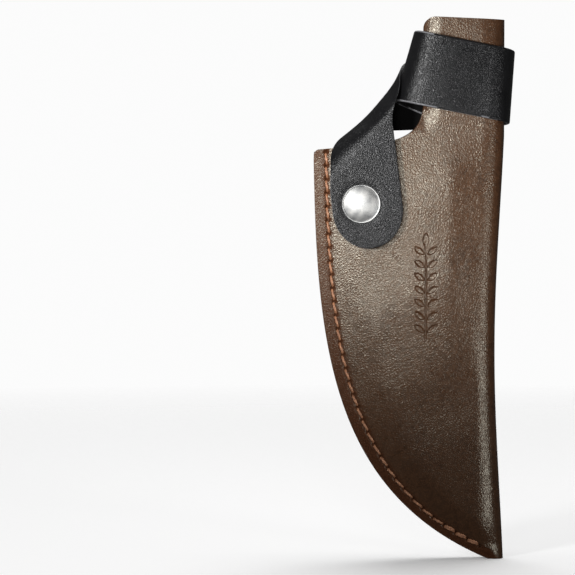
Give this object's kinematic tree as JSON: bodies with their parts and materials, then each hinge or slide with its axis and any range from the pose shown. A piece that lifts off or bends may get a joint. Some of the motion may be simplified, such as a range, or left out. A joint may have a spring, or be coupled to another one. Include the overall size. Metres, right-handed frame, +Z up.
{
  "type": "knife sheath",
  "caption": "Folded leather sheath for a curved garden or field knife, with a wrapped retaining strap, a snap and a belt loop.",
  "frame": {"origin": "middle of the belt slot, between the belt loop and the back panel", "axes": "+X towards the folded spine, -Y out of the front, +Z up from the tip to the handle tongue"},
  "size_m": [0.0777, 0.0261, 0.2095],
  "materials": {
    "brown_leather": "semi-matt pebbled grain, burnished dark cut edges",
    "black_leather": "semi-gloss fine grain, raw dark edges",
    "thread": "waxed twisted thread",
    "nickel": "brushed nickel plate"
  },
  "bodies": {
    "sheath": {"folded_body": "brown_leather", "welt": "brown_leather", "edge_thread_front": "thread", "edge_thread_back": "thread", "strap_band": "black_leather", "snap_stud": "nickel", "snap_post": "nickel", "strap_rivet_cap_1": "nickel", "strap_rivet_cap_2": "nickel", "strap_rivet_post_1": "nickel", "strap_rivet_post_2": "nickel", "belt_loop": "black_leather", "loop_rivet_cap_1": "nickel", "loop_rivet_cap_2": "nickel", "loop_rivet_cap_3": "nickel", "loop_rivet_cap_4": "nickel", "loop_rivet_post_1": "nickel", "loop_rivet_post_2": "nickel", "loop_rivet_post_3": "nickel", "loop_rivet_post_4": "nickel"},
    "tab": {"strap_tab": "black_leather", "snap_cap": "nickel", "snap_socket": "nickel", "snap_spring": "nickel"}
  },
  "joints": [
    {"name": "tab_lift", "type": "hinge", "parent": "sheath", "child": "tab", "pos_m": [-0.0311, -0.019, 0.0345], "axis": [-0.6428, 0, -0.766], "range_deg": [0, 95]}
  ]
}
